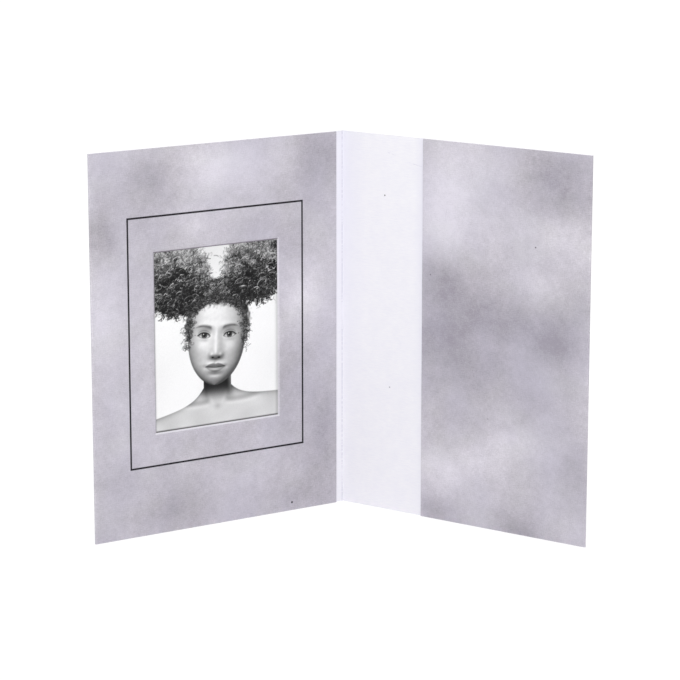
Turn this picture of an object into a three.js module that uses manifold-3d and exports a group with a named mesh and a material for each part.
// A photo card mount: a folder made of one sheet of card, printed on one side and folded three
// times, standing open with a small portrait print behind the window of its left leaf.
// Millimetres, +Z up. The folder stands on its lower edge, its spine at the back and its two
// panels coming forward, and the origin is on the floor at the middle of its outline.

import * as THREE from "three";
import { mergeVertices } from "three/addons/utils/BufferGeometryUtils.js";
import Module from "manifold-3d";

// The sheet
const CARD_HEIGHT = 203.2;
const PANEL_WIDTH = 152.4;
const CARD_THICKNESS = 0.5;
const OPENING_ANGLE = 112;
const SPINE_BEND_RADIUS = 0.3;
const BEND_STEPS = 5;

// The window leaf, folded over the left panel, and the flap turned in on the right one
const LEAF_WIDTH = 147.5;
const TURN_IN_WIDTH = 101.2;
const WINDOW_WIDTH = 74;
const WINDOW_HEIGHT = 95;

// The photographic print, which slips in behind the window
const PRINT_THICKNESS = 0.25;
const PRINT_OVERLAP_SIDES = 4.5;
const PRINT_OVERLAP_ENDS = 6.5;

// The glue lines between the layers
const GLUE_WIDTH = 7;
const GLUE_INSET = 4;
const TURN_IN_GLUE_THICKNESS = 0.25;
const PRINT_TO_GLUE = 0.3;

// The clear step between two flat layers that lie on each other
const LAYER_CLEARANCE = 0.05;

// The black line printed round the window, whose middle lies a little higher
const KEYLINE_WEIGHT = 1;
const KEYLINE_MARGIN_SIDES = 15.75;
const KEYLINE_MARGIN_ENDS = 18.7;
const KEYLINE_RISE = 0.8;
const INK_THICKNESS = 0.05;

// The portrait on the print: a tilted head and neck above bare shoulders, and two high puffs of
// curls. The head stands in the middle of the window, and heights are from there. It is five eyes
// wide and seven high, as textbooks draw it.
const HEAD_WIDTH = 38;
const EYES_PER_HEAD_WIDTH = 5;
const EYES_PER_HEAD_HEIGHT = 7;
const HEAD_TILT = -4;
const FACE_SHARE = 0.86;
const NECK_WIDTH = 17;
const NECK_FLARE = 1.5;
const NECK_BASE_DROP = 33;
const LEFT_SHOULDER_DROP = 40;
const RIGHT_SHOULDER_DROP = 34;
const PUFF_RADIUS = 18.5;
const PUFF_SPREAD = 23.5;
const PUFF_RISE = 32;
const CURLS_ROUND_PUFF = 16;
const STEPS_PER_CURL = 6;
const CURL_DEPTH = 0.9;
const FIELD_STEPS = 24;
const WINDOW_CLEARANCE = 0.3;

const PRINTED_GREY = new THREE.Color(0xbfbac4);
const BARE_WHITE = new THREE.Color(0xefeef5);
const KEYLINE_BLACK = 0x201d24;
const PHOTO_WHITE = 0xf2f2f2;
const SHOULDER_GREY = 0xb6b6b8;
const SKIN_GREY = 0xc9c9ca;
const HAIR_GREY = 0x434344;
const GLUE_CREAM = 0xe6e2d2;
const CARD_ROUGHNESS = 0.85;
const PHOTO_ROUGHNESS = 0.3;
const INK_ROUGHNESS = 0.4;
const GLUE_ROUGHNESS = 0.5;

const HEAD_HEIGHT = (HEAD_WIDTH * EYES_PER_HEAD_HEIGHT) / EYES_PER_HEAD_WIDTH;
const POCKET_GAP = PRINT_THICKNESS + 2 * LAYER_CLEARANCE;
const TURN_IN_GAP = TURN_IN_GLUE_THICKNESS + 2 * LAYER_CLEARANCE;
const PRINT_WIDTH = WINDOW_WIDTH + 2 * PRINT_OVERLAP_SIDES;
const PRINT_HEIGHT = WINDOW_HEIGHT + 2 * PRINT_OVERLAP_ENDS;
const LEAF_EDGE = PANEL_WIDTH - LEAF_WIDTH;
const TURN_IN_EDGE = PANEL_WIDTH - TURN_IN_WIDTH;
const WINDOW_CENTRE = LEAF_EDGE + LEAF_WIDTH / 2;
const MID_HEIGHT = CARD_HEIGHT / 2;
const HALF_OPENING = THREE.MathUtils.degToRad(OPENING_ANGLE / 2);
const LEFT = -1;
const RIGHT = 1;

const wasm = await Module();
wasm.setup();

// A closed three.js geometry as a solid that can be joined to others or cut by them.
function solidOf(geometry) {
  const bare = geometry.clone();
  bare.deleteAttribute("normal");
  bare.deleteAttribute("uv");
  const merged = mergeVertices(bare, 1e-4);
  return new wasm.Manifold(new wasm.Mesh({
    numProp: 3,
    vertProperties: merged.attributes.position.array,
    triVerts: new Uint32Array(merged.index.array),
  }));
}

// A solid back as a three.js geometry, with a flat normal on every triangle.
function geometryOf(solid) {
  const mesh = solid.getMesh();
  const indexed = new THREE.BufferGeometry();
  indexed.setAttribute("position", new THREE.BufferAttribute(mesh.vertProperties, 3));
  indexed.setIndex(new THREE.BufferAttribute(mesh.triVerts, 1));
  const flat = indexed.toNonIndexed();
  flat.computeVertexNormals();
  return flat;
}

// The panels in plan. On each, s runs out from the spine along the bare face of its base layer,
// and n stands off that face towards the inside of the folder.
const outwardAngle = (side) => -Math.PI / 2 + side * HALF_OPENING;
const inwardAngle = (side) => outwardAngle(side) - side * Math.PI / 2;

function panelPoint(side, s, n) {
  const x = side * (s * Math.sin(HALF_OPENING) - n * Math.cos(HALF_OPENING));
  const y = -s * Math.cos(HALF_OPENING) - n * Math.sin(HALF_OPENING);
  return new THREE.Vector2(x, y);
}

// The same panel as a frame to place flat pieces in: x to the right and z up as one faces the
// panel from inside the folder, and y away from the reader.
function panelFrame(side) {
  const frame = new THREE.Group();
  frame.rotation.z = outwardAngle(side) + (side === LEFT ? Math.PI : 0);
  frame.updateMatrixWorld();
  return frame;
}

const panels = { [LEFT]: panelFrame(LEFT), [RIGHT]: panelFrame(RIGHT) };

function placeOn(side, piece, s, n, z) {
  piece.position.set(side * s, -n, z);
  panels[side].add(piece);
}

function flatPiece(name, width, thickness, height, colour, roughness) {
  const material = new THREE.MeshStandardMaterial({ color: colour, roughness, metalness: 0 });
  const piece = new THREE.Mesh(new THREE.BoxGeometry(width, thickness, height), material);
  piece.name = name;
  return piece;
}

// The half-turn at a panel's outer edge, whose centre lies midway between the two layers.
function outerBend(side) {
  const gap = side === LEFT ? POCKET_GAP : TURN_IN_GAP;
  const radius = gap / 2 + CARD_THICKNESS;
  return { gap, radius, s: PANEL_WIDTH - radius, n: gap / 2 };
}

// The spine's bend: both bare faces run into it at the same distance from where they would meet.
const spineBend = {
  s: SPINE_BEND_RADIUS / Math.tan(HALF_OPENING),
  centre: new THREE.Vector2(0, -SPINE_BEND_RADIUS / Math.sin(HALF_OPENING)),
};

// The folded sheet in plan: round its printed face from the leaf's free edge to the turn-in's,
// and back along its bare face.
function foldedOutline() {
  const outline = new THREE.Shape();
  const lineTo = (side, s, n) => outline.lineTo(...panelPoint(side, s, n));
  const halfTurn = (side, radius, fromInside) => {
    const { s, n } = outerBend(side);
    const start = inwardAngle(side) + (fromInside ? 0 : Math.PI);
    const clockwise = (side === LEFT) === fromInside;
    outline.absarc(...panelPoint(side, s, n), radius, start, start + Math.PI, clockwise);
  };
  const spineTurn = (radius, from, to, clockwise) => outline.absarc(
    ...spineBend.centre, radius, inwardAngle(from) + Math.PI, inwardAngle(to) + Math.PI, clockwise,
  );
  const left = outerBend(LEFT);
  const right = outerBend(RIGHT);

  outline.moveTo(...panelPoint(LEFT, LEAF_EDGE, left.gap + CARD_THICKNESS));
  lineTo(LEFT, left.s, left.gap + CARD_THICKNESS);
  halfTurn(LEFT, left.radius, true);
  lineTo(LEFT, spineBend.s, -CARD_THICKNESS);
  spineTurn(SPINE_BEND_RADIUS + CARD_THICKNESS, LEFT, RIGHT, true);
  lineTo(RIGHT, right.s, -CARD_THICKNESS);
  halfTurn(RIGHT, right.radius, false);
  lineTo(RIGHT, TURN_IN_EDGE, right.gap + CARD_THICKNESS);

  lineTo(RIGHT, TURN_IN_EDGE, right.gap);
  lineTo(RIGHT, right.s, right.gap);
  halfTurn(RIGHT, right.gap / 2, true);
  lineTo(RIGHT, spineBend.s, 0);
  spineTurn(SPINE_BEND_RADIUS, RIGHT, LEFT, false);
  lineTo(LEFT, left.s, 0);
  halfTurn(LEFT, left.gap / 2, false);
  lineTo(LEFT, LEAF_EDGE, left.gap);
  return outline;
}

// True where a point of the sheet's surface, facing the given way, carries the printed grey: the
// outside of every fold. Cut edges and the inside are bare.
function isPrinted(point, normal) {
  if (Math.abs(normal.z) > 0.5) return false;
  const side = point.x < 0 ? LEFT : RIGHT;
  const bend = outerBend(side);
  const outward = panelPoint(side, 1, 0);
  const inward = panelPoint(side, 0, 1);
  const s = outward.dot(point);
  const n = inward.dot(point);
  if (s > bend.s) return Math.hypot(s - bend.s, n - bend.n) > bend.radius - CARD_THICKNESS / 2;
  if (s < spineBend.s) return n < -CARD_THICKNESS / 2;
  const facing = normal.x * inward.x + normal.y * inward.y;
  return Math.abs(facing) > 0.5 && (n < -CARD_THICKNESS / 2 || n > bend.gap + CARD_THICKNESS / 2);
}

function paintSides(geometry) {
  const position = geometry.attributes.position;
  const colours = new Float32Array(position.count * 3);
  const [a, b, c] = [new THREE.Vector3(), new THREE.Vector3(), new THREE.Vector3()];
  const triangle = new THREE.Triangle(a, b, c);
  const middle = new THREE.Vector3();
  const normal = new THREE.Vector3();
  for (let first = 0; first < position.count; first += 3) {
    [a, b, c].forEach((corner, i) => corner.fromBufferAttribute(position, first + i));
    triangle.getMidpoint(middle);
    triangle.getNormal(normal);
    const colour = isPrinted(middle, normal) ? PRINTED_GREY : BARE_WHITE;
    for (let i = 0; i < 3; i += 1) colour.toArray(colours, (first + i) * 3);
  }
  geometry.setAttribute("color", new THREE.BufferAttribute(colours, 3));
}

// The folder: the section run up to the card's height, with the window cut through the leaf only.
function foldedCard() {
  const extruded = new THREE.ExtrudeGeometry(foldedOutline(), {
    depth: CARD_HEIGHT, bevelEnabled: false, curveSegments: BEND_STEPS,
  });
  const cutFrom = POCKET_GAP / 2;
  const cutTo = POCKET_GAP + 2 * CARD_THICKNESS;
  const cutter = new THREE.BoxGeometry(WINDOW_WIDTH, cutTo - cutFrom, WINDOW_HEIGHT);
  cutter.translate(LEFT * WINDOW_CENTRE, -(cutFrom + cutTo) / 2, MID_HEIGHT);
  cutter.applyMatrix4(panels[LEFT].matrixWorld);
  const geometry = geometryOf(solidOf(extruded).subtract(solidOf(cutter)));
  paintSides(geometry);
  const material = new THREE.MeshStandardMaterial({
    vertexColors: true, roughness: CARD_ROUGHNESS, metalness: 0,
  });
  const card = new THREE.Mesh(geometry, material);
  card.name = "folded_card";
  return card;
}

// The print stands in the pocket, its middle on the window's.
function photoPrint() {
  const print = flatPiece(
    "photo_print", PRINT_WIDTH, PRINT_THICKNESS, PRINT_HEIGHT, PHOTO_WHITE, PHOTO_ROUGHNESS,
  );
  placeOn(LEFT, print, WINDOW_CENTRE, POCKET_GAP / 2, MID_HEIGHT);
}

function glueLine(name, width, thickness, height) {
  return flatPiece(name, width, thickness, height, GLUE_CREAM, GLUE_ROUGHNESS);
}

// Three glue lines make the pocket: under the print, over it and beyond its outer side. The side
// towards the spine is open, and the print slips in there.
function pocketGlue() {
  const n = POCKET_GAP / 2;
  const outerSide = WINDOW_CENTRE + PRINT_WIDTH / 2 + PRINT_TO_GLUE;
  const length = outerSide - LEAF_EDGE - GLUE_INSET;
  const middle = LEAF_EDGE + GLUE_INSET + length / 2;
  const beyond = outerSide + PRINT_TO_GLUE + GLUE_WIDTH / 2;
  const offset = PRINT_HEIGHT / 2 + PRINT_TO_GLUE + GLUE_WIDTH / 2;
  const upright = 2 * offset + GLUE_WIDTH;
  const lower = glueLine("pocket_glue_lower", length, PRINT_THICKNESS, GLUE_WIDTH);
  const upper = glueLine("pocket_glue_upper", length, PRINT_THICKNESS, GLUE_WIDTH);
  const outer = glueLine("pocket_glue_outer", GLUE_WIDTH, PRINT_THICKNESS, upright);
  placeOn(LEFT, lower, middle, n, MID_HEIGHT - offset);
  placeOn(LEFT, upper, middle, n, MID_HEIGHT + offset);
  placeOn(LEFT, outer, beyond, n, MID_HEIGHT);
}

// The turn-in is glued down along its free edge, its top and its bottom.
function turnInGlue() {
  const n = TURN_IN_GAP / 2;
  const free = TURN_IN_EDGE + GLUE_INSET;
  const acrossStart = free + GLUE_WIDTH + PRINT_TO_GLUE;
  const across = outerBend(RIGHT).s - GLUE_INSET - acrossStart;
  const middle = acrossStart + across / 2;
  const offset = MID_HEIGHT - GLUE_INSET - GLUE_WIDTH / 2;
  const upright = CARD_HEIGHT - 2 * GLUE_INSET;
  const edge = glueLine("turn_in_glue_edge", GLUE_WIDTH, TURN_IN_GLUE_THICKNESS, upright);
  const lower = glueLine("turn_in_glue_lower", across, TURN_IN_GLUE_THICKNESS, GLUE_WIDTH);
  const upper = glueLine("turn_in_glue_upper", across, TURN_IN_GLUE_THICKNESS, GLUE_WIDTH);
  placeOn(RIGHT, edge, free + GLUE_WIDTH / 2, n, MID_HEIGHT);
  placeOn(RIGHT, lower, middle, n, MID_HEIGHT - offset);
  placeOn(RIGHT, upper, middle, n, MID_HEIGHT + offset);
}

// A flat shape, drawn as one faces it, as a layer of the given thickness towards the reader.
function layerOf(shape, thickness) {
  const layer = new THREE.ExtrudeGeometry(shape, {
    depth: thickness, bevelEnabled: false, curveSegments: FIELD_STEPS,
  });
  return layer.rotateX(Math.PI / 2);
}

function rectangle(width, height) {
  const shape = new THREE.Shape();
  shape.moveTo(-width / 2, -height / 2);
  shape.lineTo(width / 2, -height / 2);
  shape.lineTo(width / 2, height / 2);
  shape.lineTo(-width / 2, height / 2);
  return shape;
}

function inkField(name, geometry, colour) {
  const ink = new THREE.MeshStandardMaterial({ color: colour, roughness: INK_ROUGHNESS, metalness: 0 });
  const field = new THREE.Mesh(geometry, ink);
  field.name = name;
  return field;
}

// The keyline: one thin ring of ink on the leaf's printed face.
function keyline() {
  const width = WINDOW_WIDTH + 2 * KEYLINE_MARGIN_SIDES;
  const height = WINDOW_HEIGHT + 2 * KEYLINE_MARGIN_ENDS;
  const ring = rectangle(width, height);
  ring.holes.push(rectangle(width - 2 * KEYLINE_WEIGHT, height - 2 * KEYLINE_WEIGHT));
  const face = POCKET_GAP + CARD_THICKNESS + LAYER_CLEARANCE;
  const line = inkField("printed_keyline", layerOf(ring, INK_THICKNESS), KEYLINE_BLACK);
  placeOn(LEFT, line, WINDOW_CENTRE, face, MID_HEIGHT + KEYLINE_RISE);
}

// An upright ellipse, turned by the head's tilt about the head's middle.
function headEllipse(width, height, rise) {
  const tilt = THREE.MathUtils.degToRad(HEAD_TILT);
  const shape = new THREE.Shape();
  const middle = new THREE.Vector2(0, rise).rotateAround(new THREE.Vector2(), tilt);
  shape.absellipse(middle.x, middle.y, width / 2, height / 2, 0, 2 * Math.PI, false, tilt);
  return shape;
}

// A round puff of hair with a curly rim: its radius swells and shrinks once for each curl.
function puff(side) {
  const steps = CURLS_ROUND_PUFF * STEPS_PER_CURL;
  const rim = Array.from({ length: steps }, (_, i) => {
    const angle = (2 * Math.PI * i) / steps;
    const radius = PUFF_RADIUS + CURL_DEPTH * Math.cos(CURLS_ROUND_PUFF * angle);
    return new THREE.Vector2(
      side * PUFF_SPREAD + radius * Math.cos(angle), PUFF_RISE + radius * Math.sin(angle),
    );
  });
  return new THREE.Shape(rim);
}

// Neck and shoulders: the shoulder lines rise from the window's sides to the neck.
function shoulders() {
  const half = WINDOW_WIDTH / 2;
  const neck = NECK_WIDTH / 2;
  const neckTop = -HEAD_HEIGHT / 4;
  const shape = new THREE.Shape();
  shape.moveTo(-half, -WINDOW_HEIGHT / 2);
  shape.lineTo(half, -WINDOW_HEIGHT / 2);
  shape.lineTo(half, -RIGHT_SHOULDER_DROP);
  shape.quadraticCurveTo(neck * NECK_FLARE, -NECK_BASE_DROP, neck, neckTop);
  shape.lineTo(-neck, neckTop);
  shape.quadraticCurveTo(-neck * NECK_FLARE, -NECK_BASE_DROP, -half, -LEFT_SHOULDER_DROP);
  return shape;
}

// The portrait as three fields of grey, one over the other, within the window's edges.
function portrait() {
  const field = (shape) => solidOf(layerOf(shape, INK_THICKNESS));
  const cutter = (shape) => solidOf(layerOf(shape, 3 * INK_THICKNESS).translate(0, INK_THICKNESS, 0));
  const clearWidth = WINDOW_WIDTH - 2 * WINDOW_CLEARANCE;
  const clearHeight = WINDOW_HEIGHT - 2 * WINDOW_CLEARANCE;
  const inWindow = cutter(rectangle(clearWidth, clearHeight));
  const hairlineDrop = (1 - FACE_SHARE) * HEAD_HEIGHT / 2;
  const faceShape = headEllipse(HEAD_WIDTH * FACE_SHARE, HEAD_HEIGHT * FACE_SHARE, -hairlineDrop);
  const hair = field(headEllipse(HEAD_WIDTH, HEAD_HEIGHT * FACE_SHARE, hairlineDrop))
    .add(field(puff(LEFT)))
    .add(field(puff(RIGHT)))
    .subtract(cutter(faceShape));
  const fields = [
    ["portrait_shoulders", field(shoulders()), SHOULDER_GREY],
    ["portrait_face", field(faceShape), SKIN_GREY],
    ["portrait_hair", hair, HAIR_GREY],
  ];
  const printFace = POCKET_GAP / 2 + PRINT_THICKNESS / 2;
  fields.forEach(([name, whole, colour], level) => {
    const off = printFace + LAYER_CLEARANCE + level * (INK_THICKNESS + LAYER_CLEARANCE);
    const ink = inkField(name, geometryOf(whole.intersect(inWindow)), colour);
    placeOn(LEFT, ink, WINDOW_CENTRE, off, MID_HEIGHT);
  });
}

const mount = new THREE.Group();
mount.name = "photo_card_mount";
mount.add(foldedCard(), panels[LEFT], panels[RIGHT]);
photoPrint();
pocketGlue();
turnInGlue();
keyline();
portrait();

const middle = new THREE.Box3().setFromObject(mount).getCenter(new THREE.Vector3());
mount.position.set(-middle.x, -middle.y, 0);

export default mount;
